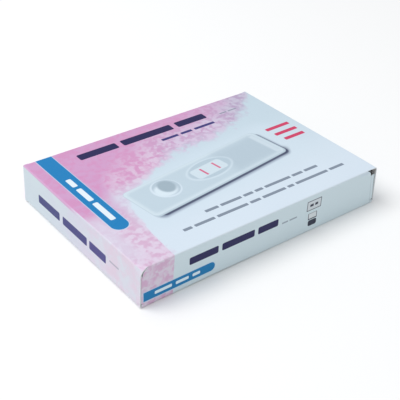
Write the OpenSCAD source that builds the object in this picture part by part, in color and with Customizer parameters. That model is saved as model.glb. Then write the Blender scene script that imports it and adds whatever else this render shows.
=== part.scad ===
/* [Carton] */
// Length between the two end folds, left to right
carton_l = 150; // [130:1:190]
// Width from the front panel to the back panel
carton_w = 108; // [90:1:130]
// Height of the closed carton
carton_h = 22; // [20:0.5:30]

/* [Board] */
// Thickness of the carton board
board_t = 0.5; // [0.4:0.05:0.6]
// Outer radius of a creased fold
fold_r = 0.7; // [0.65:0.05:0.9]

/* [End flaps] */
// How far each end flap stands out at its lower edge, because the tuck holds it loosely
flap_lean = 0.7; // [0.3:0.1:1]
// How much narrower each end flap is than the carton, on each side
flap_inset = 0.3; // [0.2:0.1:0.8]
// Gap between the lower crease of an end flap and the bottom panel
crease_gap = 0.3; // [0.25:0.05:0.5]

/* [Tuck flaps] */
// Depth of each tuck flap from its crease to its inner edge
tuck_d = 12; // [9:0.5:12]
// Radius of the two corners of a tuck flap
tuck_corner_r = 7; // [4:0.5:8]
// Clearance beside each tuck flap at its crease
tuck_side = 1.5; // [1.2:0.1:2.5]
// Angle at which a tuck flap rises from the bottom panel towards its inner edge
tuck_rise = 5; // [5:0.25:6]

/* [Dust flaps] */
// Length of each dust flap, from the long panel to its free end
dust_d = 28; // [20:1:34]
// Inset of the dust flaps behind the end folds
dust_inset = 0.8; // [0.7:0.1:1.2]
// Outer radius of the soft dust flap folds at the left end
dust_fold_left = 1.2; // [0.8:0.1:2.4]
// Outer radius of the soft dust flap folds at the right end
dust_fold_right = 2.2; // [0.8:0.1:2.4]
// Height of the lower edge of a dust flap, above the tuck flap
dust_low = 2.4; // [2.4:0.1:3.5]
// Radius of the rounded corner of a long panel beside each end fold
panel_corner_r = 4; // [3:0.5:5]

/* [Glued seam] */
// Height of the glued tab inside the back panel
tab_h = 14; // [8:1:16]

/* [Print colours] */
// Colour of the printed panels
print_colour = "lavenderblush"; // [lavenderblush, aliceblue, white]
// Colour of the end flaps
flap_colour = "thistle"; // [thistle, lavender, white]
// Colour of the tuck flaps
tuck_colour = "whitesmoke"; // [whitesmoke, lightgrey, white]

/* [Hidden] */
$fn = 64;
half_l = carton_l / 2;
half_w = carton_w / 2;
top_in = carton_h - board_t;          // inner face of the top panel
fold_in = fold_r - board_t;           // inner radius of a crease
crease_z = board_t + crease_gap;      // underside of the tuck crease
dust_x = half_l - dust_inset;         // outer face of the dust flaps
bottom_x = half_l - 0.2;              // cut end of the bottom panel
dust_high = carton_h - panel_corner_r;
// Axis of an end flap: the middle of the outer arc of its fold
hinge_x = half_l - fold_r * (1 - cos(45));
hinge_z = carton_h - fold_r * (1 - cos(45));
lean_angle = asin(flap_lean / (hinge_z - crease_z));
// Axis of a tuck flap: the middle of the inner arc of its crease, before the flap leans
tuck_axis_x = half_l - fold_r + fold_in * cos(45);
tuck_axis_z = crease_z + fold_r - fold_in * cos(45);

// The extruded profiles below are drawn in y and z, and run along x
module along_x(x0, x1) {
    translate([x0, 0, 0]) rotate([90, 0, 90]) linear_extrude(height = x1 - x0) children();
}

// Profiles drawn in x and z, extruded along y
module along_y(y0, y1) {
    translate([0, y1, 0]) rotate([90, 0, 0]) linear_extrude(height = y1 - y0) children();
}

// A sector of a folded board's ring: from angle a0 to angle a1, at most 90 degrees apart
module fold_ring(r, a0, a1) {
    intersection() {
        difference() {
            circle(r = r);
            circle(r = r - board_t);
        }
        polygon([[0, 0], 2 * r * [cos(a0), sin(a0)],
                 2.9 * r * [cos((a0 + a1) / 2), sin((a0 + a1) / 2)],
                 2 * r * [cos(a1), sin(a1)]]);
    }
}

// Cross-section of the wrapped sheet: top, front, bottom and back panels, and the tab glued
// inside the back panel
module sleeve_section() {
    r = fold_r;
    // top panel
    translate([-half_w + r, top_in]) square([carton_w - 2 * r, board_t]);
    translate([-half_w + r, carton_h - r]) fold_ring(r, 90, 180);
    translate([half_w - r, carton_h - r]) fold_ring(r, 0, 90);
    // front panel
    translate([-half_w, r]) square([board_t, carton_h - 2 * r]);
    translate([-half_w + r, r]) fold_ring(r, 180, 270);
    // bottom panel, up to the fold of the glued tab
    translate([-half_w + r, 0]) square([carton_w - board_t - 2 * r, board_t]);
    translate([half_w - board_t - r, r]) fold_ring(r, 270, 360);
    // glued tab and back panel, face to face
    translate([half_w - 2 * board_t, r]) square([board_t, tab_h - r]);
    translate([half_w - board_t, r]) square([board_t, carton_h - 2 * r]);
}

// What is cut away from a long panel's upper corner at the left end
module corner_notch(x_fold) {
    r = panel_corner_r;
    difference() {
        translate([-x_fold - 1, carton_h - r]) square([r + 1, r - board_t]);
        translate([-x_fold + r, carton_h - r]) circle(r = r);
    }
}

// Both upper corners of one end, front and back. dir is -1 at the left end and 1 at the right
module corner_notches(dir, x_fold) {
    mirror([dir > 0 ? 1 : 0, 0, 0])
        for (side = [-1, 1])
            translate([0, side * half_w, 0])
                along_y(-1.05, 1.05) corner_notch(x_fold);
}

// One dust flap with its soft fold, at the front left corner
module dust_flap(r) {
    tip = dust_d;
    intersection() {
        translate([-dust_x, -half_w, dust_low]) linear_extrude(height = dust_high - dust_low) {
            translate([r, r]) fold_ring(r, 180, 270);
            translate([0, r]) square([board_t, tip - r]);
            translate([r, 0]) square([0.4, board_t]);
        }
        // outline of the flap: square by the fold, tapered and rounded at its free end
        along_x(-dust_x - 1, -dust_x + r + 2) translate([-half_w, 0]) {
            translate([-1, dust_low]) square([7, dust_high - dust_low]);
            polygon([[5, dust_low], [tip - 3, dust_low + 2], [tip - 3, dust_high - 3], [5, dust_high]]);
            translate([tip - 3.5, dust_low + 5]) square([3.5, dust_high - dust_low - 11]);
            translate([tip - 3, dust_low + 5]) circle(r = 3);
            translate([tip - 3, dust_high - 6]) circle(r = 3);
        }
    }
}

// The two dust flaps of one end
module dust_pair(dir, r) {
    mirror([dir > 0 ? 1 : 0, 0, 0]) {
        dust_flap(r);
        mirror([0, 1, 0]) dust_flap(r);
    }
}

// One end of the top and bottom panels, drawn for the left end
module panel_end(x_fold) {
    // free edge of the top panel beyond the rounded corners, up to the fold
    reach = panel_corner_r - sqrt(pow(panel_corner_r, 2) - pow(panel_corner_r - board_t, 2));
    along_y(-half_w + 0.05, half_w - 0.05) {
        translate([-half_l + fold_r, top_in]) square([half_l - fold_r - x_fold + reach, board_t]);
        translate([-half_l + fold_r, carton_h - fold_r]) fold_ring(fold_r, 90, 135);
    }
    // free end of the bottom panel
    along_y(-half_w + 0.4, half_w - board_t - 0.4)
        translate([-bottom_x, 0]) square([bottom_x - x_fold + 1, board_t]);
}

// The wrapped and glued sheet with its four dust flaps folded in
module carton_body() {
    x_left = dust_x - dust_fold_left;
    x_right = dust_x - dust_fold_right;
    color(print_colour) union() {
        difference() {
            along_x(-x_left, x_right) sleeve_section();
            corner_notches(-1, x_left);
            corner_notches(1, x_right);
        }
        panel_end(x_left);
        mirror([1, 0, 0]) panel_end(x_right);
        dust_pair(-1, dust_fold_left);
        dust_pair(1, dust_fold_right);
    }
}

// Turns the left end flap outwards about its axis by its lean
module leaning() {
    translate([-hinge_x, 0, hinge_z]) rotate([0, lean_angle, 0]) translate([hinge_x, 0, -hinge_z]) children();
}

// The left end flap: its half of the fold above and its half of the crease below
module end_flap() {
    r = fold_r;
    leaning() difference() {
        along_y(-half_w + flap_inset, half_w - flap_inset) {
            translate([-half_l + r, carton_h - r]) fold_ring(r, 135, 180);
            translate([-half_l, crease_z + r]) square([board_t, carton_h - crease_z - 2 * r]);
            translate([-half_l + r, crease_z + r]) fold_ring(r, 180, 225);
        }
        // the crease is only as wide as the tuck flap
        for (y0 = [-half_w - 1, half_w - tuck_side])
            translate([-half_l - 1, y0, crease_z - 1]) cube([3, tuck_side + 1, r + 1]);
    }
}

// The left tuck flap, which rises a little from its crease to its rounded inner edge
module tuck_flap() {
    r = fold_r;
    c = tuck_corner_r;
    w = half_w - tuck_side;
    leaning()
        translate([-tuck_axis_x, 0, tuck_axis_z])
            rotate([0, -lean_angle - tuck_rise, 0])
                translate([tuck_axis_x, 0, -tuck_axis_z])
                    intersection() {
                        along_y(-w, w) {
                            translate([-half_l + r, crease_z + r]) fold_ring(r, 225, 270);
                            translate([-half_l + r, crease_z]) square([tuck_d - r, board_t]);
                        }
                        translate([-half_l, 0, crease_z - 1]) linear_extrude(height = 3) {
                            translate([-1, -w]) square([tuck_d - c + 1, 2 * w]);
                            translate([0, -w + c]) square([tuck_d, 2 * (w - c)]);
                            translate([tuck_d - c, -w + c]) circle(r = c);
                            translate([tuck_d - c, w - c]) circle(r = c);
                        }
                    }
}

module left_end_flap() {
    color(flap_colour) end_flap();
}

module left_tuck_flap() {
    color(tuck_colour) tuck_flap();
}

module right_end_flap() {
    color(flap_colour) mirror([1, 0, 0]) end_flap();
}

module right_tuck_flap() {
    color(tuck_colour) mirror([1, 0, 0]) tuck_flap();
}

carton_body();
left_end_flap();
left_tuck_flap();
right_end_flap();
right_tuck_flap();
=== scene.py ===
import math

import bpy
import numpy as np
from mathutils import Euler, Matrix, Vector
from mathutils.geometry import delaunay_2d_cdt


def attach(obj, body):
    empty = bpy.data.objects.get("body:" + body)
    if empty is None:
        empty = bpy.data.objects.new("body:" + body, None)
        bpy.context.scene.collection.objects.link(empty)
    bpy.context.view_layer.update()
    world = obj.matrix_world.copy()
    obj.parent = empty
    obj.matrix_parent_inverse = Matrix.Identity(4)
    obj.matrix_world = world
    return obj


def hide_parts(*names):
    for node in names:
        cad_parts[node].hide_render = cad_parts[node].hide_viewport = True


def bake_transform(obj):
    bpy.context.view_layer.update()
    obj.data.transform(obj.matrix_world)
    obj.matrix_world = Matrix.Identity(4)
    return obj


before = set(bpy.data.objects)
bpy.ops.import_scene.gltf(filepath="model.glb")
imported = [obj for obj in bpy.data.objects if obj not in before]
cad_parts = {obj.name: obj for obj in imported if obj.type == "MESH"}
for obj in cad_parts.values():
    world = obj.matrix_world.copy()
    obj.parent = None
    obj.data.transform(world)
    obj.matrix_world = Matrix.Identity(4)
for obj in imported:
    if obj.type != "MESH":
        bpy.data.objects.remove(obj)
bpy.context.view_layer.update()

MM = 0.001

# ---------------------------------------------------------------- the sheet's shape
# The carton is one sheet of board. a runs along its length and b around it, both in
# millimetres on the flat blank, with a = 0, b = 0 in the middle of the top panel.
# b grows towards the front panel. place() folds the blank up.
T = 0.5                       # board
R0 = 0.7                      # outer radius of a crease
ARC = R0 * math.pi / 2
B_TOP = 53.3                  # where the long folds start
B_SIDE = B_TOP + ARC          # top of the front and back panels
B_LOW = B_SIDE + 20.6         # their lower ends
B_BOT = B_LOW + ARC           # front edge of the bottom panel
B_TAB = B_BOT + 106.1 + ARC   # lower edge of the glued tab
B_END = B_TAB + 12.9          # its upper edge
B_CUT = 53.85                 # free edge of the top panel beyond the long folds
LEAN = math.asin(0.03334)     # how far the end flaps stand out
RISE = math.radians(5)
PLATE = (74.9996, 21.3233)    # upper end of an end flap's outer face
TUCK = (74.9335, 0.8140)      # where the tuck flap's underside meets it


def smooth(e0, e1, v):
    t = min(max((v - e0) / (e1 - e0), 0.0), 1.0)
    return t * t * (3 - 2 * t)


def sleeve(b):
    """Outer face of the wrapped panels: y and z."""
    s, d = abs(b), abs(b) - B_TOP
    side = -1 if b > 0 else 1
    if d <= 0:
        return -b, 22.0
    if d <= ARC:
        return side * (B_TOP + R0 * math.sin(d / R0)), 21.3 + R0 * math.cos(d / R0)
    d -= ARC
    if d <= 20.6 or b < 0:
        return side * 54.0, 21.3 - d
    d -= 20.6
    if d <= ARC:
        return -(53.3 + R0 * math.cos(d / R0)), 0.7 - R0 * math.sin(d / R0)
    d -= ARC
    if d <= 106.1:
        return -53.3 + d, 0.0
    d -= 106.1
    if d <= ARC:
        return 52.8 + R0 * math.sin(d / R0), 0.7 - R0 * math.cos(d / R0)
    return 53.5 - 0.04, 0.7 + (d - ARC)


def meet(p, n, q, m, r):
    """The point at distance r from two lines, given by a point and an inward normal each."""
    k = np.linalg.solve(np.array([n, m], float), np.array([r + np.dot(n, p), r + np.dot(m, q)]))
    return float(k[0]), float(k[1])


PLATE_DIR = (math.sin(LEAN), -math.cos(LEAN))
PLATE_IN = (-math.cos(LEAN), -math.sin(LEAN))
TUCK_DIR = (-math.cos(RISE), math.sin(RISE))
TUCK_IN = (math.sin(RISE), math.cos(RISE))
LOW_C = meet(PLATE, PLATE_IN, TUCK, TUCK_IN, R0)
LOW_START = (LOW_C[0] - R0 * PLATE_IN[0], LOW_C[1] - R0 * PLATE_IN[1])
LOW_TURN = math.acos(PLATE_DIR[0] * TUCK_DIR[0] + PLATE_DIR[1] * TUCK_DIR[1])
TUCK_LONG = 11.3
PHI = math.radians(90) - LEAN
SEAM = {-1: 70.0, 1: 73.7}    # where each end flap's piece starts, from the middle
ROLL = 70.0                   # the end folds start beyond this


def fold_radius(side, y):
    """Outer radius of an end fold: crisp, but soft at the left front corner."""
    if side < 0:
        return R0 + 4.2 * math.exp(-(((y + 54.0) / 4.4) ** 2))
    return R0 + 0.5 * math.exp(-(((y + 54.0) / 6.0) ** 2))


def over_lengths(r):
    cx = meet((0, 22.0), (0, -1), PLATE, PLATE_IN, r)[0]
    end = (cx - r * PLATE_IN[0], 22.0 - r - r * PLATE_IN[1])
    flat = cx - ROLL
    plate = math.hypot(LOW_START[0] - end[0], LOW_START[1] - end[1])
    return cx, end, flat, r * PHI, plate


BASE = over_lengths(R0)
Q_CREASE = ROLL + BASE[2] + BASE[3] + BASE[4]        # start of the lower crease
Q_FLAP = Q_CREASE - 0.8                              # lower end of the end flap's piece
Q_TIP = Q_CREASE + R0 * LOW_TURN + TUCK_LONG - 0.62


def over(side, q, y):
    """x and z on an end flap's path, from the top panel down to the tip of the tuck flap."""
    if q <= ROLL:
        return q, 22.0
    r = fold_radius(side, y)
    cx, end, flat, arc, plate = over_lengths(r)
    s = q - ROLL
    if q < Q_CREASE:
        s *= (flat + arc + plate) / (Q_CREASE - ROLL)
        if s <= flat:
            return ROLL + s, 22.0
        if s <= flat + arc:
            t = (s - flat) / r
            return cx + r * math.sin(t), 22.0 - r + r * math.cos(t)
        u = s - flat - arc
        bow = 0.22 * math.sin(math.pi * min(u / plate, 1)) * math.cos(math.pi * y / 112.0)
        return end[0] + u * PLATE_DIR[0] + bow * PLATE_IN[0], end[1] + u * PLATE_DIR[1] + bow * PLATE_IN[1]
    if abs(y) > 52.53:                                   # ears beside the tuck flap run straight on
        u = q - Q_CREASE
        return LOW_START[0] + u * PLATE_DIR[0], LOW_START[1] + u * PLATE_DIR[1]
    t = (q - Q_CREASE) / R0
    if t <= LOW_TURN:
        a = math.radians(90) - PHI - t     # direction of the outward normal
        ox, oz = math.cos(a), math.sin(a)
        return LOW_C[0] + R0 * ox, LOW_C[1] + R0 * oz
    u = (t - LOW_TURN) * R0
    ox, oz = LOW_C[0] - R0 * TUCK_IN[0], LOW_C[1] - R0 * TUCK_IN[1]
    return ox + u * TUCK_DIR[0], oz + u * TUCK_DIR[1]


TURN = 0.6                    # outer radius of the dust flaps' folds


def dust_x(z):
    """Outer face of a dust flap at its fold: it springs out against the end flap."""
    return 74.4 + 0.0333 * (21.3 - z)


def fold_x(side, z):
    """Where a long panel ends and its dust flap's fold starts."""
    if side < 0:
        return dust_x(z) - TURN
    return 70.9 + 2.2 * (1 - smooth(2.0, 18.5, z))


SPRING = math.radians(90.9)
EASE = math.radians(11.0)
SHOULDER = 2.25               # below this height a long panel runs on, square, past its dust flap


def fold_path(side, xf, z):
    """How a long panel turns into its dust flap: (length, turn) of each stretch. The left end is
    one round fold; the right end first eases in, from a second crease, and then turns."""
    r = TURN
    if side < 0:
        return (r * SPRING, SPRING), (0.0, 0.0), (0.0, 0.0)
    left = (dust_x(z) - xf) - r * (1 - math.sin(EASE))
    first = 0.35 * left / math.sin(EASE)
    return (first * EASE, EASE), (0.65 * left / math.cos(EASE), 0.0), (r * (SPRING - EASE), SPRING - EASE)


def wrapped(side, xf, z, s):
    """x and depth behind the long panel's face, at path length s beyond its fold."""
    x, depth, head = xf, 0.0, 0.0
    for length, turn in fold_path(side, xf, z) + ((1e3, 0.0),):
        step = min(s, length)
        if turn and length > 1e-9:
            k = turn / length
            x += (math.sin(head + k * step) - math.sin(head)) / k
            depth += (math.cos(head) - math.cos(head + k * step)) / k
            head += k * step
        else:
            x += step * math.cos(head)
            depth += step * math.sin(head)
        s -= step
        if s <= 0:
            break
    return x, depth


def fold_length(side, xf, z):
    """How much longer the path to the dust flap is than its depth."""
    total = sum(length for length, turn in fold_path(side, xf, z))
    return total - wrapped(side, xf, z, total)[1]


def place(a, b, top):
    """A point of the blank on the folded carton: x, y, z in millimetres."""
    side = -1 if a < 0 else 1
    q = abs(a)
    y, z = sleeve(b)
    if top:
        curl = 1 - smooth(70.9, 73.0, q)
        yy = -b + (y + b) * curl
        dz = (z - 22.0) * curl
        x, zz = over(side, q, yy)
        bow = 0.3 * math.cos(math.pi * min(q, 70.0) / 140.0) ** 2 * math.cos(math.pi * yy / 109.0)
        return side * x, yy, zz + dz - max(bow, 0.0)
    x = a
    low = 0.0
    if b > B_TOP:
        low = 0.42 * math.exp(-(((a + 27.0) / 27.0) ** 2)) * math.exp(-(((b - B_LOW) / 7.5) ** 2))
    if (B_SIDE - 0.3 < abs(b) < B_LOW + 0.9) and b < B_LOW + 0.3:
        front = -1 if b > 0 else 1
        inward = 0.22 * math.cos(math.pi * min(q, 73.0) / 146.0) * math.sin(math.pi * min(max((22.0 - z) / 22.0, 0), 1)) ** 2
        xf = fold_x(side, z)
        y = y - front * inward
        if q > xf and z > SHOULDER:
            x, depth = wrapped(side, xf, z, q - xf)
            x *= side
            y = y - front * depth
    return x, y, z + low


def normal(a, b, top):
    e = 0.004
    p = [np.array(place(a + da, b + db, top)) for da, db in ((e, 0), (-e, 0), (0, e), (0, -e))]
    n = np.cross(p[2] - p[3], p[0] - p[1])
    return n / max(np.linalg.norm(n), 1e-12)


# ---------------------------------------------------------------- outlines on the blank
def arc_points(cx, cy, r, t0, t1, n):
    """Points on a circle, angles in degrees from +a towards +b."""
    return [(cx + r * math.cos(math.radians(t0 + (t1 - t0) * i / n)),
             cy + r * math.sin(math.radians(t0 + (t1 - t0) * i / n))) for i in range(n + 1)]


def b_of_z(z):
    """Distance around the sleeve, from the middle of the top, of height z on a long panel."""
    if z >= 21.3:
        return B_TOP + R0 * math.acos(min((z - 21.3) / R0, 1.0))
    return B_SIDE + 21.3 - z


def panel_end(side, r):
    """Half outline of one end, from the top panel's free edge down the front panel, for b > 0
    and a > 0: corner of radius r, dust flap, and the front panel's lower end."""
    xf = fold_x(side, 18.2)
    cx, cz = xf - r, 22.0 - r
    t0 = math.degrees(math.acos((21.795 - cz) / r))
    pts = [(SEAM[side], B_CUT - 0.06), (cx + r * math.sin(math.radians(t0)) + 0.03, B_CUT)]
    for i in range(11):
        t = math.radians(t0 + (90 - t0) * i / 10)
        z = cz + r * math.cos(t)
        pts.append((cx + r * math.sin(t), b_of_z(z)))
    # dust flap: s along the wrapped path, u the depth behind the long panel
    extra = fold_length(side, xf, 18.2)
    hi, lo, tip = 18.0, 2.4, 28.0

    def at(u, z):
        return (xf + u + extra, b_of_z(z))

    pts.append((xf + 0.5, b_of_z(hi)))
    pts.append(at(5.0, hi))
    for i in range(9):
        t = math.radians(90 - 80 * i / 8)
        pts.append(at(tip - 3 + 3 * math.cos(t), hi - 6 + 3 * math.sin(t)))
    for i in range(9):
        t = math.radians(-10 - 80 * i / 8)
        pts.append(at(tip - 3 + 3 * math.cos(t), lo + 5 + 3 * math.sin(t)))
    pts.append(at(5.0, lo))
    # square shoulder below the dust flap
    xl = fold_x(side, lo)
    pts.append((xl + 0.5, b_of_z(lo)))
    pts.append((xl - 0.3, b_of_z(lo) + 0.02))
    pts.append((xl - 0.42, b_of_z(lo - 0.14)))
    pts.append((xl - 0.3, b_of_z(lo - 0.28)))
    pts.append((74.2, b_of_z(lo - 0.28)))
    pts.append((74.6, b_of_z(lo - 0.5)))
    pts.append((74.72, b_of_z(lo - 0.95)))
    return pts


def shell_outline():
    out = []
    for side in (1, -1):
        front = [(side * a, b) for a, b in panel_end(side, 4.9 if side < 0 else 4.2)]
        back = [(side * a, -b) for a, b in panel_end(side, 3.0 if side < 0 else 4.2)]
        # front part: on to the bottom panel and the glued tab
        front += [(side * 74.74, B_LOW + 0.2), (side * 74.76, B_BOT - 0.2), (side * 74.8, B_BOT + 0.6),
                  (side * 74.8, B_TAB - ARC - 1.0),
                  (side * 74.4, B_TAB - ARC - 0.2), (side * 72.6, B_TAB - 0.2),
                  (side * 71.6, B_TAB + 1.2), (side * 67.0, B_END - 0.6), (side * 66.2, B_END)]
        back += [(side * 74.7, -(B_LOW - 0.3)), (side * 74.4, -B_LOW)]
        if side > 0:
            out += list(reversed(back)) + front
        else:
            out += list(reversed(front)) + back
    return out


def flap_outline(side):
    """Right end flap's piece; the left one is the same on the other side."""
    s, w = SEAM[side], 53.9
    half = [(s, B_CUT - 0.06), (s + 1.6, w), (Q_FLAP + 1.05, w), (Q_FLAP + 1.33, w - 0.1),
            (Q_FLAP + 1.45, w - 0.4), (Q_FLAP + 1.45, 52.75), (Q_FLAP + 1.3, 52.6), (Q_FLAP + 0.04, 52.56),
            (Q_FLAP, 52.5)]
    pts = half + [(a, -b) for a, b in reversed(half)]
    return [(side * a, b) for a, b in pts]


def tuck_outline(side):
    w, r = 52.5, 7.0
    pts = [(Q_FLAP, -w), (Q_CREASE + 2.0, -w), (Q_TIP - r, -w + 0.05)]
    pts += arc_points(Q_TIP - r, -w + 0.05 + r, r, -90, 0, 12)[1:]
    pts += arc_points(Q_TIP - r, w - 0.05 - r, r, 0, 90, 12)
    pts += [(Q_CREASE + 2.0, w), (Q_FLAP, w)]
    return [(side * a, b) for a, b in pts]


# ---------------------------------------------------------------- folding a flat outline
def inside(p, poly):
    x, y = p
    c = False
    j = len(poly) - 1
    for i in range(len(poly)):
        xi, yi = poly[i]
        xj, yj = poly[j]
        if (yi > y) != (yj > y) and x < (xj - xi) * (y - yi) / (yj - yi) + xi:
            c = not c
        j = i
    return c


def to_edge(p, poly):
    P = np.array(poly)
    Q = np.roll(P, -1, 0)
    d = Q - P
    t = np.clip(((np.array(p) - P) * d).sum(1) / np.maximum((d * d).sum(1), 1e-12), 0, 1)
    return float(np.min(np.linalg.norm(P + d * t[:, None] - np.array(p), axis=1)))


def cut_at_lines(poly, la, lb):
    """The outline with a corner wherever it crosses a grid line."""
    out = []
    n = len(poly)
    for i in range(n):
        p, q = poly[i], poly[(i + 1) % n]
        ts = {0.0}
        for k, lines in ((0, la), (1, lb)):
            d = q[k] - p[k]
            if abs(d) > 1e-9:
                for v in lines:
                    t = (v - p[k]) / d
                    if 1e-3 < t < 1 - 1e-3:
                        ts.add(t)
        length = math.hypot(q[0] - p[0], q[1] - p[1])
        last = None
        for t in sorted(ts):
            if last is not None and (t - last) * length < 0.035:
                continue
            if t > 0 and (1 - t) * length < 0.035:
                continue
            out.append((p[0] + (q[0] - p[0]) * t, p[1] + (q[1] - p[1]) * t))
            last = t
    return out


def board(name, outline, la, lb, materials, is_top):
    """A closed mesh of the folded board from its flat outline and the lines to divide it at."""
    area = sum(outline[i][0] * outline[(i + 1) % len(outline)][1] - outline[(i + 1) % len(outline)][0] * outline[i][1]
               for i in range(len(outline)))
    if area < 0:
        outline = outline[::-1]
    rim = cut_at_lines(outline, la, lb)
    pts = list(rim)
    for a in la:
        for b in lb:
            if inside((a, b), outline) and to_edge((a, b), outline) > 0.045:
                pts.append((a, b))
    res = delaunay_2d_cdt([Vector(p) for p in pts], [], [list(range(len(rim)))], 1, 1e-5, True)
    v2, tris = res[0], res[2]
    v2 = [(p[0], p[1]) for p in v2]
    clean = []
    for f in tris:
        s = sum(v2[f[i]][0] * v2[f[(i + 1) % 3]][1] - v2[f[(i + 1) % 3]][0] * v2[f[i]][1] for i in range(3))
        if abs(s) < 1e-7:
            continue
        # the bays between the flaps stay open
        if not inside((sum(v2[i][0] for i in f) / 3, sum(v2[i][1] for i in f) / 3), outline):
            continue
        clean.append(tuple(f) if s > 0 else tuple(reversed(f)))
    used = sorted({i for f in clean for i in f})
    index = {v: i for i, v in enumerate(used)}
    v2 = [v2[i] for i in used]
    clean = [tuple(index[i] for i in f) for f in clean]
    n = len(v2)
    outer, inner, sheet = [], [], []
    for a, b in v2:
        top = is_top(a, b)
        p = np.array(place(a, b, top))
        m = normal(a, b, top)
        outer.append(p)
        inner.append(p - T * m)
        sheet.append((a, b))
    verts = [tuple(p * MM) for p in outer + inner]
    faces, mats = [], []
    directed = set()
    for f in clean:
        faces.append((f[0], f[2], f[1]))
        mats.append(0)
        faces.append(tuple(i + n for i in f))
        mats.append(1)
        for k in range(3):
            directed.add((f[k], f[(k + 1) % 3]))
    rims = sorted(e for e in directed if (e[1], e[0]) not in directed)
    for i, j in rims:
        faces.append((i, j, j + n, i + n))
        mats.append(2)
    mesh = bpy.data.meshes.new(name)
    mesh.from_pydata(verts, [], faces)
    mesh.polygons.foreach_set("material_index", mats)
    mesh.polygons.foreach_set("use_smooth", [True] * len(faces))
    at = mesh.attributes.new("sheet", "FLOAT_VECTOR", "POINT")
    flat = []
    for k in (0.0, -0.5):
        for a, b in sheet:
            flat += [a * MM, b * MM, k * MM]
    at.data.foreach_set("vector", flat)
    mesh.update()
    rim_edges = {tuple(sorted(e)) for e in rims} | {tuple(sorted((i + n, j + n))) for i, j in rims}
    sharp = [tuple(sorted(e.vertices)) in rim_edges for e in mesh.edges]
    # upright edges of the cut side that turn sharply
    nxt = {i: j for i, j in rims}
    prev = {j: i for i, j in rims}
    turn = set()
    for i in nxt:
        if i in prev:
            p, c, q = (np.array(outer[k]) for k in (prev[i], i, nxt[i]))
            u, w = c - p, q - c
            cosine = float(u @ w / max(np.linalg.norm(u) * np.linalg.norm(w), 1e-12))
            if cosine < 0.8:
                turn.add((i, i + n))
    sharp = [s or tuple(sorted(e.vertices)) in turn for s, e in zip(sharp, mesh.edges)]
    se = mesh.attributes.get("sharp_edge") or mesh.attributes.new("sharp_edge", "BOOLEAN", "EDGE")
    se.data.foreach_set("value", sharp)
    mesh.validate()
    for m in materials:
        mesh.materials.append(m)
    obj = bpy.data.objects.new(name, mesh)
    bpy.context.scene.collection.objects.link(obj)
    return obj


def spread(lo, hi, n):
    return [lo + (hi - lo) * i / n for i in range(n + 1)]


# ---------------------------------------------------------------- materials
def lin(r, g, b):
    def c(v):
        v /= 255.0
        return v / 12.92 if v <= 0.04045 else ((v + 0.055) / 1.055) ** 2.4
    return (c(r), c(g), c(b), 1.0)


class Net:
    """Short names for building a node tree."""

    def __init__(self, tree):
        self.t = tree

    def new(self, kind, **props):
        n = self.t.nodes.new(kind)
        for k, v in props.items():
            setattr(n, k, v)
        return n

    def put(self, socket, value):
        if isinstance(value, bpy.types.NodeSocket):
            self.t.links.new(value, socket)
        else:
            socket.default_value = value

    def math(self, op, a, b=0.0, c=0.0, clamp=False):
        n = self.new("ShaderNodeMath", operation=op, use_clamp=clamp)
        for s, v in zip(n.inputs, (a, b, c)):
            self.put(s, v)
        return n.outputs[0]

    def add(self, a, b): return self.math("ADD", a, b)
    def sub(self, a, b): return self.math("SUBTRACT", a, b)
    def mul(self, a, b): return self.math("MULTIPLY", a, b)
    def hi(self, a, b): return self.math("MAXIMUM", a, b)
    def lo(self, a, b): return self.math("MINIMUM", a, b)

    def step(self, v, e0, e1):
        """0 below e0 and 1 above e1, smooth between."""
        n = self.new("ShaderNodeMapRange", interpolation_type="SMOOTHSTEP")
        self.put(n.inputs["Value"], v)
        n.inputs["From Min"].default_value = e0
        n.inputs["From Max"].default_value = e1
        return n.outputs[0]

    def noise(self, vec, scale, detail=4.0, rough=0.55, distort=0.0, dims="3D"):
        n = self.new("ShaderNodeTexNoise", noise_dimensions=dims)
        self.put(n.inputs["Vector"], vec)
        n.inputs["Scale"].default_value = scale
        n.inputs["Detail"].default_value = detail
        n.inputs["Roughness"].default_value = rough
        n.inputs["Distortion"].default_value = distort
        return n.outputs[0]

    def mix(self, f, a, b):
        n = self.new("ShaderNodeMix", data_type="RGBA")
        self.put(n.inputs["Factor"], f)
        self.put(n.inputs[6], a)
        self.put(n.inputs[7], b)
        return n.outputs[2]

    def ramp(self, f, stops, mode="LINEAR"):
        n = self.new("ShaderNodeValToRGB")
        r = n.color_ramp
        r.interpolation = mode
        while len(r.elements) > 1:
            r.elements.remove(r.elements[-1])
        r.elements[0].position, r.elements[0].color = stops[0]
        for p, c in stops[1:]:
            e = r.elements.new(p)
            e.color = c
        self.put(n.inputs[0], f)
        return n.outputs[0]

    def curve(self, v, points):
        n = self.new("ShaderNodeFloatCurve")
        c = n.mapping.curves[0]
        while len(c.points) > 2:
            c.points.remove(c.points[1])
        c.points[0].location, c.points[1].location = points[0], points[-1]
        for p in points[1:-1]:
            c.points.new(*p)
        n.mapping.update()
        self.put(n.inputs["Value"], v)
        return n.outputs[0]

    def vec(self, x, y, z=0.0):
        n = self.new("ShaderNodeCombineXYZ")
        for s, v in zip(n.inputs, (x, y, z)):
            self.put(s, v)
        return n.outputs[0]


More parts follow.
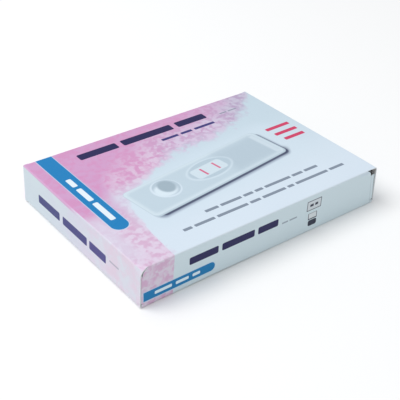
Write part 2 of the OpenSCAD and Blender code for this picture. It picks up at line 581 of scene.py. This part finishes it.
class Print:
    """Printed shapes on the blank. Lengths in millimetres; x from the carton's left end and y
    from its back edge, so y is over 108 on the front panel and x under 0 on the left end."""

    def __init__(self, net, x, y):
        self.n, self.x, self.y = net, x, y

    def box(self, cx, cy, hx, hy, r=0.0, turn=0.0, soft=0.12):
        n = self.n
        u, v = n.sub(self.x, cx), n.sub(self.y, cy)
        if turn:
            c, s = math.cos(math.radians(turn)), math.sin(math.radians(turn))
            u, v = n.add(n.mul(u, c), n.mul(v, s)), n.sub(n.mul(v, c), n.mul(u, s))
        u = n.sub(n.math("ABSOLUTE", u), hx - r)
        v = n.sub(n.math("ABSOLUTE", v), hy - r)
        pu, pv = n.hi(u, 0.0), n.hi(v, 0.0)
        out = n.math("SQRT", n.math("MULTIPLY_ADD", pu, pu, n.mul(pv, pv)))
        d = n.sub(n.add(out, n.lo(n.hi(u, v), 0.0)), r)
        return n.step(d, soft / 2, -soft / 2)

    def oval(self, cx, cy, rx, ry, turn=0.0, soft=0.12):
        n = self.n
        u, v = n.sub(self.x, cx), n.sub(self.y, cy)
        if turn:
            c, s = math.cos(math.radians(turn)), math.sin(math.radians(turn))
            u, v = n.add(n.mul(u, c), n.mul(v, s)), n.sub(n.mul(v, c), n.mul(u, s))
        u, v = n.mul(u, 1 / rx), n.mul(v, 1 / ry)
        d = n.math("SQRT", n.math("MULTIPLY_ADD", u, u, n.mul(v, v)))
        k = soft / min(rx, ry)
        return n.step(d, 1 + k / 2, 1 - k / 2)

    def row(self, x0, cy, h, words, gap, r=None):
        """A line of plain bars: words gives each bar's length."""
        mask, at = None, x0
        for w in words:
            m = self.box(at + w / 2, cy, w / 2, h / 2, min(h / 2, w / 2) * 0.35 if r is None else r)
            mask = m if mask is None else self.n.hi(mask, m)
            at += w + gap
        return mask


def sheet_coordinates(net):
    at = net.new("ShaderNodeAttribute", attribute_type="GEOMETRY", attribute_name="sheet")
    sep = net.new("ShaderNodeSeparateXYZ")
    net.put(sep.inputs[0], at.outputs["Vector"])
    return at.outputs["Vector"], sep.outputs


def new_material(name):
    m = bpy.data.materials.new(name)
    m.use_nodes = True
    m.node_tree.nodes.clear()
    net = Net(m.node_tree)
    out = net.new("ShaderNodeOutputMaterial")
    bsdf = net.new("ShaderNodeBsdfPrincipled")
    net.t.links.new(bsdf.outputs[0], out.inputs["Surface"])
    return m, net, bsdf


def print_material():
    m, net, bsdf = new_material("printed_board")
    vec, axes = sheet_coordinates(net)
    x = net.math("MULTIPLY_ADD", axes[0], 1000.0, 75.0)
    y = net.math("MULTIPLY_ADD", axes[1], 1000.0, 54.0)
    pr = Print(net, x, y)

    # pale ground, a little warmer and lighter towards the front
    drift = net.noise(vec, 14.0, 2.0, 0.5)
    ground = net.mix(net.step(y, 10.0, 104.0), lin(197, 217, 228), lin(220, 233, 245))
    ground = net.mix(net.mul(net.step(drift, 0.35, 0.7), 0.35), ground, lin(212, 226, 240))
    ground = net.mix(net.mul(net.step(y, 107.4, 108.6), 1.0), ground, lin(215, 232, 239))

    # mottled field: even pink towards the back left, clouded at its rim, and paler to the front
    warp = net.noise(vec, 60.0, 3.0, 0.6)
    broad = net.noise(vec, 72.0, 2.0, 0.5, 0.6)
    fine = net.noise(vec, 165.0, 2.0, 0.55, 0.7)
    tall = net.noise(vec, 330.0, 1.6, 0.5, 0.5)
    edge = net.curve(net.mul(x, 1 / 150.0),
                     [(0.0, 1.0), (0.095, 1.0), (0.115, 0.70), (0.14, 0.40), (0.18, 0.30), (0.25, 0.262), (0.33, 0.228),
                      (0.42, 0.19), (0.55, 0.168), (0.68, 0.158), (0.78, 0.132), (0.89, 0.09), (0.96, 0.045), (1.0, 0.0)])
    reach = net.sub(net.mul(edge, 200.0), y)                      # mm inside the field, along y
    across = net.math("MULTIPLY_ADD", net.sub(warp, 0.5), 22.0, net.mul(net.sub(fine, 0.5), 13.0))
    across = net.math("MULTIPLY_ADD", net.sub(tall, 0.5), 9.0, across)
    ragged = net.add(reach, across)
    field = net.step(ragged, -3.5, 4.5)
    front_face = net.step(y, 106.5, 109.5)
    left = net.step(net.add(net.math("MULTIPLY_ADD", front_face, 2.0, x), net.mul(across, 0.34)), 21.0, 13.5)
    field = net.hi(field, net.mul(left, net.step(y, 40.0, 60.0)))
    field = net.mul(field, net.step(y, 132.5, 129.5))             # not on the bottom panel
    forward = net.step(y, 54.0, 82.0)
    rim = net.step(ragged, 34.0, 8.0)
    cloudy = net.add(net.mul(fine, 0.42), net.math("MULTIPLY_ADD", tall, 0.58, net.mul(net.sub(broad, 0.5), 0.30)))
    cloudy = net.step(cloudy, 0.395, 0.60)
    far, farther = net.step(x, 45.0, 85.0), net.step(x, 95.0, 135.0)
    low = net.mix(far, lin(215, 156, 200), net.mix(farther, lin(203, 166, 203), lin(186, 166, 198)))
    high = net.mix(far, lin(224, 198, 223), net.mix(farther, lin(217, 203, 227), lin(204, 199, 219)))
    low = net.mix(rim, lin(214, 151, 197), low)
    high = net.mix(rim, lin(212, 162, 205), high)
    low = net.mix(forward, low, lin(217, 181, 211))
    high = net.mix(forward, high, lin(226, 210, 231))
    pink = net.mix(cloudy, low, high)
    spots = net.mul(net.mul(net.step(fine, 0.58, 0.68), net.step(broad, 0.44, 0.58)), forward)
    pink = net.mix(net.mul(spots, 0.4), pink, lin(222, 166, 204))
    # paler to the left of the blue band's rounded end
    pallor = net.mul(net.mul(net.step(x, 11.0, 4.0), net.step(y, 56.0, 68.0)), net.step(y, 106.0, 94.0))
    pink = net.mix(net.mul(pallor, 0.68), pink, lin(221, 217, 234))
    pink = net.mix(net.mul(front_face, net.mul(net.step(tall, 0.42, 0.62), 0.38)), pink, lin(220, 222, 228))
    colour = net.mix(field, ground, pink)
    # left end: paler and greyer, with weak mottling on its front half
    on_end = net.step(x, 0.55, 0.15)
    end_ground = net.mix(net.step(y, 8.0, 66.0), lin(205, 217, 225), lin(214, 212, 228))
    end_ground = net.mix(net.mul(net.step(broad, 0.42, 0.62), 0.35), end_ground, lin(208, 222, 226))
    weak = net.mix(net.step(net.add(net.mul(fine, 0.5), net.mul(broad, 0.5)), 0.38, 0.62), lin(223, 206, 222), lin(216, 219, 230))
    end_colour = net.mix(net.mul(net.step(net.add(y, across), 46.0, 88.0), 0.9), end_ground, weak)
    strip_edge = net.math("MULTIPLY_ADD", y, 0.02, 0.35)          # how far the pink comes over the fold
    strip = net.mul(net.step(net.add(x, strip_edge), -0.35, 0.35),
                    net.step(net.add(y, net.mul(across, 0.5)), 56.0, 44.0))
    end_colour = net.mix(net.mul(strip, 0.9), end_colour, lin(213, 160, 203))
    colour = net.mix(on_end, colour, end_colour)
    # right end and all four dust flaps: no print but the pale ground
    plain_left = net.mul(net.step(x, 0.4, -0.2), net.hi(net.step(y, 108.6, 108.9), net.step(y, -0.6, -0.9)))
    plain_right = net.mul(net.step(x, 150.2, 150.8), net.hi(net.step(y, 108.6, 108.9), net.step(y, -0.6, -0.9)))
    colour = net.mix(net.hi(plain_left, plain_right), colour, lin(215, 226, 233))

    def lay(mask, c, strength=1.0):
        nonlocal colour
        colour = net.mix(net.mul(mask, strength) if strength != 1.0 else mask, colour, c)

    # pale glow and soft shade around the pictured strip holder
    lay(pr.box(77.0, 61.5, 58.0, 19.0, 8.0, -7.2, 14.0), lin(214, 230, 242), 0.62)
    lay(pr.box(75.8, 62.6, 47.4, 13.6, 4.0, -7.2, 3.2), lin(86, 100, 134), 0.7)
    lay(pr.box(76.7, 61.7, 46.0, 13.4, 3.0, -7.2, 0.9), lin(50, 56, 90), 0.8)
    lay(pr.oval(121.0, 66.6, 4.2, 2.6, -35.0, 3.6), lin(58, 66, 96), 0.55)
    # holder: rim, face, well and window
    lay(pr.box(74.5, 60.2, 47.5, 13.6, 3.0, -7.2, 0.6), lin(190, 208, 220))
    lay(pr.box(74.2, 59.7, 47.0, 13.0, 2.8, -7.2, 0.7), lin(212, 228, 238))
    lay(pr.box(74.3, 59.6, 45.2, 11.2, 2.2, -7.2, 2.6), lin(197, 215, 227))
    lay(pr.box(103.0, 56.4, 15.0, 10.8, 2.0, -7.2, 9.0), lin(183, 201, 214), 0.75)
    lay(pr.box(117.6, 54.6, 1.4, 10.6, 0.6, -7.2, 1.6), lin(218, 232, 242), 0.6)
    lay(pr.oval(47.6, 60.6, 8.2, 8.2, 0, 1.0), lin(216, 231, 243))
    lay(pr.oval(48.0, 60.2, 7.3, 7.3, 0, 0.8), lin(186, 204, 217))
    lay(pr.oval(46.6, 61.8, 6.2, 5.4, 0, 2.2), lin(222, 237, 247))
    lay(pr.oval(48.9, 59.2, 4.6, 5.4, 0, 1.8), lin(163, 182, 195))
    lay(pr.oval(77.4, 57.8, 15.0, 8.6, -7.2, 1.4), lin(213, 229, 240))
    lay(pr.oval(77.7, 57.6, 14.0, 7.7, -7.2, 1.2), lin(187, 206, 219))
    lay(pr.box(76.9, 58.0, 10.6, 4.6, 2.0, -7.2, 1.0), lin(213, 229, 239))
    lay(pr.box(73.0, 58.8, 0.65, 3.4, 0.3, -7.2, 0.3), lin(219, 112, 146))
    lay(pr.box(82.0, 57.3, 0.65, 3.4, 0.3, -7.2, 0.3), lin(219, 122, 152))
    # blue bands
    lay(pr.box(11.5, 35.8, 5.0, 42.4, 5.0, 0, 0.5), lin(190, 220, 240), 0.8)
    lay(pr.box(11.5, 35.8, 4.6, 42.0, 4.6), lin(12, 128, 192))
    for cy, hy in ((60.0, 8.6), (42.5, 6.4), (29.6, 4.0)):
        lay(pr.box(11.5, cy, 1.5, hy, 0.8), lin(232, 244, 252))
    lay(net.mul(pr.box(20.0, 124.05, 22.5, 2.95, 2.95, 0, 0.5), net.step(x, 0.8, 1.2)), lin(196, 226, 242), 0.8)
    lay(net.mul(pr.box(20.0, 124.05, 22.1, 2.55, 2.55), net.step(x, 1.25, 1.4)), lin(12, 126, 186))
    lay(pr.row(7.5, 124.05, 1.7, [9.6, 7.4, 4.4], 2.2, 0.5), lin(224, 243, 252))
    # rows of plain bars
    navy, slate, grey, red = lin(30, 26, 84), lin(58, 54, 122), lin(120, 132, 150), lin(212, 62, 104)
    lay(pr.row(27.0, 10.4, 5.7, [24.0, 33.0, 20.0], 3.2, 0.9), navy)
    lay(pr.row(74.0, 19.8, 2.1, [11.0, 7.5, 14.0], 1.9), slate)
    lay(pr.row(119.0, 13.8, 1.1, [5.0, 6.0], 1.2), grey, 0.7)
    lay(pr.row(128.0, 44.4, 2.7, [16.6], 1.0), red)
    lay(pr.row(129.0, 51.0, 2.7, [15.6], 1.0), red)
    lay(pr.row(130.4, 57.4, 2.7, [14.0], 1.0), red)
    lay(pr.row(51.0, 88.3, 2.0, [8.0, 13.0, 6.0, 5.0, 17.0, 7.0, 9.0], 1.5), grey, 0.9)
    lay(pr.row(33.0, 95.0, 2.0, [5.0, 12.0, 19.0, 6.5, 15.0, 4.0, 22.0, 10.0], 1.6), grey, 0.9)
    # front panel, y = 108 + distance below the top edge
    lay(pr.row(27.0, 115.3, 4.2, [17.0, 20.0, 13.0], 2.2, 0.8), navy)
    lay(pr.row(84.0, 117.2, 0.9, [4.0, 5.0], 1.0), grey, 0.7)
    for half, tone in ((2.95, lin(52, 56, 76)), (2.55, lin(214, 222, 228))):
        lay(pr.box(105.4, 113.9, 1.95 + half, half, 0.3), tone)
    lay(pr.row(102.6, 113.9, 1.5, [2.4, 2.0], 1.0, 0.3), lin(52, 56, 76))
    lay(pr.box(105.0, 120.6, 3.0, 1.9, 0.2), lin(52, 56, 76))
    lay(pr.box(105.0, 120.4, 2.6, 1.5, 0.2), lin(220, 228, 232))
    lay(pr.box(105.0, 124.6, 2.9, 1.7, 1.0), lin(46, 50, 70))
    # left end, x = -(distance below the top edge)
    lay(pr.box(-11.8, 26.0, 2.4, 10.6, 0.8), lin(60, 62, 122))
    lay(pr.box(-11.8, 51.0, 2.4, 11.4, 0.8), lin(64, 62, 126))
    lay(pr.box(-11.8, 72.0, 2.4, 7.4, 0.8), lin(72, 66, 132))
    lay(pr.box(-10.4, 86.4, 0.5, 4.0, 0.3), grey, 0.5)

    # folds: the print is a little rubbed along each crease; below that, painted shade and highlight at the right end's
    # crease
    fibre = net.noise(vec, 2600.0, 3.0, 0.6)
    cloud = net.noise(vec, 45.0, 2.0, 0.5)
    long_fold = net.math("ABSOLUTE", net.sub(net.math("ABSOLUTE", net.sub(y, 54.0)), 53.85))
    low_fold = net.math("ABSOLUTE", net.sub(y, 54.0 + B_LOW + ARC / 2))
    near = net.lo(long_fold, low_fold)
    rub = net.mul(net.step(near, 0.75, 0.12), net.step(net.add(fibre, net.mul(cloud, 0.6)), 0.62, 0.98))
    lay(rub, lin(236, 238, 241), 0.26)
    # painted shade and painted highlight: a dark line along the right end's crease on the front panel, with a light
    # line just beside it
    painted_crease_offset = net.sub(net.sub(x, net.mul(net.sub(y, 108.0), 0.085)), 146.1)
    on_front = net.mul(net.step(y, 109.0, 117.0), net.step(y, 130.0, 128.5))
    lay(net.mul(net.step(net.math("ABSOLUTE", painted_crease_offset), 0.45, 0.1), on_front), lin(176, 194, 204), 0.5)
    lay(net.mul(net.step(net.math("ABSOLUTE", net.sub(painted_crease_offset, 0.75)), 0.5, 0.1), on_front), lin(228, 236, 241), 0.4)
    # painted shade: a soft bluish streak just under the top edge near the right front corner
    lay(pr.box(143.5, 109.0, 5.5, 0.7, 0.4, 0, 1.6), lin(200, 214, 238), 0.34)
    # very slight unevenness of the ink
    dots = net.noise(vec, 1500.0, 2.0, 0.5)
    shade = net.add(0.895, net.add(net.mul(dots, 0.045), net.mul(cloud, 0.025)))
    hsv = net.new("ShaderNodeHueSaturation")
    net.put(hsv.inputs["Value"], shade)
    net.put(hsv.inputs["Color"], colour)
    net.t.links.new(hsv.outputs[0], bsdf.inputs["Base Color"])

    smear = net.noise(vec, 120.0, 3.0, 0.6)
    rough = net.add(0.42, net.add(net.mul(smear, 0.16), net.mul(rub, 0.3)))
    net.put(bsdf.inputs["Roughness"], rough)
    bsdf.inputs["Specular IOR Level"].default_value = 0.28
    height = net.add(net.mul(fibre, 0.5), net.add(net.mul(net.noise(vec, 700.0, 3.0, 0.55), 0.7),
                                                   net.mul(net.noise(vec, 55.0, 2.0, 0.5), 9.0)))
    bump = net.new("ShaderNodeBump")
    bump.inputs["Strength"].default_value = 0.35
    bump.inputs["Distance"].default_value = 0.000012
    net.put(bump.inputs["Height"], height)
    net.t.links.new(bump.outputs[0], bsdf.inputs["Normal"])
    return m


def inside_material():
    """Uncoated grey-white back of the board, with its fibres."""
    m, net, bsdf = new_material("uncoated_board")
    vec, axes = sheet_coordinates(net)
    long = net.vec(net.mul(axes[0], 0.35), axes[1], axes[2])
    fibre = net.noise(long, 3200.0, 4.0, 0.65, 0.4)
    speck = net.noise(vec, 1700.0, 1.0, 0.5)
    cloud = net.noise(vec, 110.0, 3.0, 0.55)
    colour = net.mix(net.step(fibre, 0.32, 0.72), lin(210, 211, 210), lin(230, 231, 231))
    colour = net.mix(net.mul(net.step(cloud, 0.35, 0.7), 0.35), colour, lin(214, 213, 210))
    colour = net.mix(net.mul(net.step(speck, 0.70, 0.78), 0.5), colour, lin(150, 140, 126))
    net.t.links.new(colour, bsdf.inputs["Base Color"])
    net.put(bsdf.inputs["Roughness"], net.add(0.78, net.mul(fibre, 0.14)))
    bsdf.inputs["Specular IOR Level"].default_value = 0.2
    bump = net.new("ShaderNodeBump")
    bump.inputs["Strength"].default_value = 0.6
    bump.inputs["Distance"].default_value = 0.00003
    net.put(bump.inputs["Height"], fibre)
    net.t.links.new(bump.outputs[0], bsdf.inputs["Normal"])
    return m


def edge_material():
    """Cut edge: a white coated skin over greyer plies."""
    m, net, bsdf = new_material("cut_board_edge")
    vec, axes = sheet_coordinates(net)
    deep = net.mul(axes[2], -1000.0)                        # 0 at the print, 0.5 at the back
    wave = net.noise(vec, 1800.0, 3.0, 0.6)
    ply = net.add(deep, net.mul(net.sub(wave, 0.5), 0.12))
    colour = net.ramp(net.mul(ply, 2.0), [(0.0, lin(232, 236, 241)), (0.18, lin(230, 234, 239)),
                                          (0.28, lin(218, 222, 226)), (0.50, lin(213, 217, 221)),
                                          (0.80, lin(220, 223, 226)), (1.0, lin(225, 227, 228))])
    net.t.links.new(colour, bsdf.inputs["Base Color"])
    net.put(bsdf.inputs["Roughness"], net.add(0.8, net.mul(wave, 0.15)))
    bsdf.inputs["Specular IOR Level"].default_value = 0.2
    layers = net.math("SINE", net.mul(ply, 75.0))
    bump = net.new("ShaderNodeBump")
    bump.inputs["Strength"].default_value = 0.5
    bump.inputs["Distance"].default_value = 0.00003
    net.put(bump.inputs["Height"], net.add(net.mul(layers, 0.4), wave))
    net.t.links.new(bump.outputs[0], bsdf.inputs["Normal"])
    return m


skins = [print_material(), inside_material(), edge_material()]

# ---------------------------------------------------------------- the five pieces
fold_lines = spread(B_TOP - 0.25, B_SIDE + 0.15, 10)
lb_top = spread(-52.0, 52.0, 26)
lb_side = spread(B_SIDE + 1.0, B_LOW - 1.0, 11)
lb_low = spread(B_LOW - 0.15, B_BOT + 0.15, 9)
lb_bottom = spread(B_BOT + 1.5, B_TAB - ARC - 1.5, 26)
lb_seam = spread(B_TAB - ARC - 0.15, B_TAB + 0.15, 9)
lb_tab = spread(B_TAB + 1.5, B_END - 1.5, 5)
lines_b = sorted(set(round(v, 4) for v in
                     [-v for v in lb_side] + [-v for v in fold_lines] + lb_top + fold_lines + lb_side + lb_low + lb_bottom
                     + lb_seam + lb_tab + [-(B_LOW - 0.4), -B_CUT, B_CUT]))
lines_a = sorted(set(round(v, 4) for v in
                     spread(-66.0, 66.0, 40) + [s * v for s in (1, -1) for v in
                                                spread(67.2, 71.2, 8) + spread(71.5, 77.2, 24) + spread(78.0, 104.0, 13)]))
shell = board("carton_shell", shell_outline(), lines_a, lines_b, skins, lambda a, b: abs(b) <= B_CUT + 0.001)
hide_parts("carton_body")
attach(shell, "carton")

for side, word in ((-1, "left"), (1, "right")):
    seam = SEAM[side]
    qs = spread(seam, 76.2, 35) + spread(76.6, Q_FLAP - 1.6, 16) + spread(Q_FLAP - 1.3, Q_FLAP, 4) + [Q_FLAP + 0.5, Q_FLAP + 1.0]
    bs = spread(-49.0, 49.0, 28) + [s * v for s in (1, -1) for v in spread(49.6, 53.6, 10)]
    flap = board(word + "_flap_board", flap_outline(side), sorted(side * q for q in qs), sorted(bs), skins,
                 lambda a, b: True)
    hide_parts(word + "_end_flap")
    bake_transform(flap)
    qs = spread(Q_FLAP, Q_CREASE + R0 * LOW_TURN + 0.2, 16) + spread(Q_CREASE + 2.2, Q_TIP - 0.8, 8)
    bs = spread(-52.2, 52.2, 30)
    tuck = board(word + "_tuck_board", tuck_outline(side), sorted(side * q for q in qs), bs, skins, lambda a, b: True)
    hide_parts(word + "_tuck_flap")
    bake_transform(tuck)

# ---------------------------------------------------------------- floor, light and camera
def floor():
    me = bpy.data.meshes.new("floor")
    me.from_pydata([(-3, -3, 0), (3, -3, 0), (3, 3, 0), (-3, 3, 0)], [], [(0, 1, 2, 3)])
    ob = bpy.data.objects.new("floor", me)
    bpy.context.scene.collection.objects.link(ob)
    ob.location = (0, 0, -0.00002)
    m, net, bsdf = new_material("studio_floor")
    bsdf.inputs["Base Color"].default_value = (0.94, 0.94, 0.94, 1)
    bsdf.inputs["Roughness"].default_value = 0.9
    bsdf.inputs["Specular IOR Level"].default_value = 0.0
    me.materials.append(m)


def area(name, at, target, size, watts, tint=(1, 1, 1)):
    d = bpy.data.lights.new(name, "AREA")
    d.shape, d.size = "DISK", size
    d.energy, d.color = watts, tint
    o = bpy.data.objects.new(name, d)
    bpy.context.scene.collection.objects.link(o)
    o.location = at
    o.rotation_euler = (Vector(target) - Vector(at)).to_track_quat("-Z", "Y").to_euler()


floor()
area("key", (-0.85, 0.45, 1.60), (0, 0, 0), 1.4, 21.5)
world = bpy.data.worlds.new("studio")
bpy.context.scene.world = world
world.use_nodes = True
wn = world.node_tree.nodes.get("Background") or world.node_tree.nodes.new("ShaderNodeBackground")
wo = world.node_tree.nodes.get("World Output") or world.node_tree.nodes.new("ShaderNodeOutputWorld")
world.node_tree.links.new(wn.outputs[0], wo.inputs[0])
wn.inputs[0].default_value = (0.97, 0.985, 1.0, 1)
wn.inputs[1].default_value = 0.62

cam = bpy.data.cameras.new("camera")
cam.sensor_width = 36.0
cam.lens = 78.62
cam_obj = bpy.data.objects.new("camera", cam)
bpy.context.scene.collection.objects.link(cam_obj)
cam_obj.location = (-0.241894, -0.305229, 0.258399)
cam_obj.rotation_euler = Euler([math.radians(v) for v in (56.5089, -1.4107, -37.4256)], "XYZ")
bpy.context.scene.camera = cam_obj
bpy.context.scene.view_settings.view_transform = "Standard"
bpy.context.scene.view_settings.look = "None"
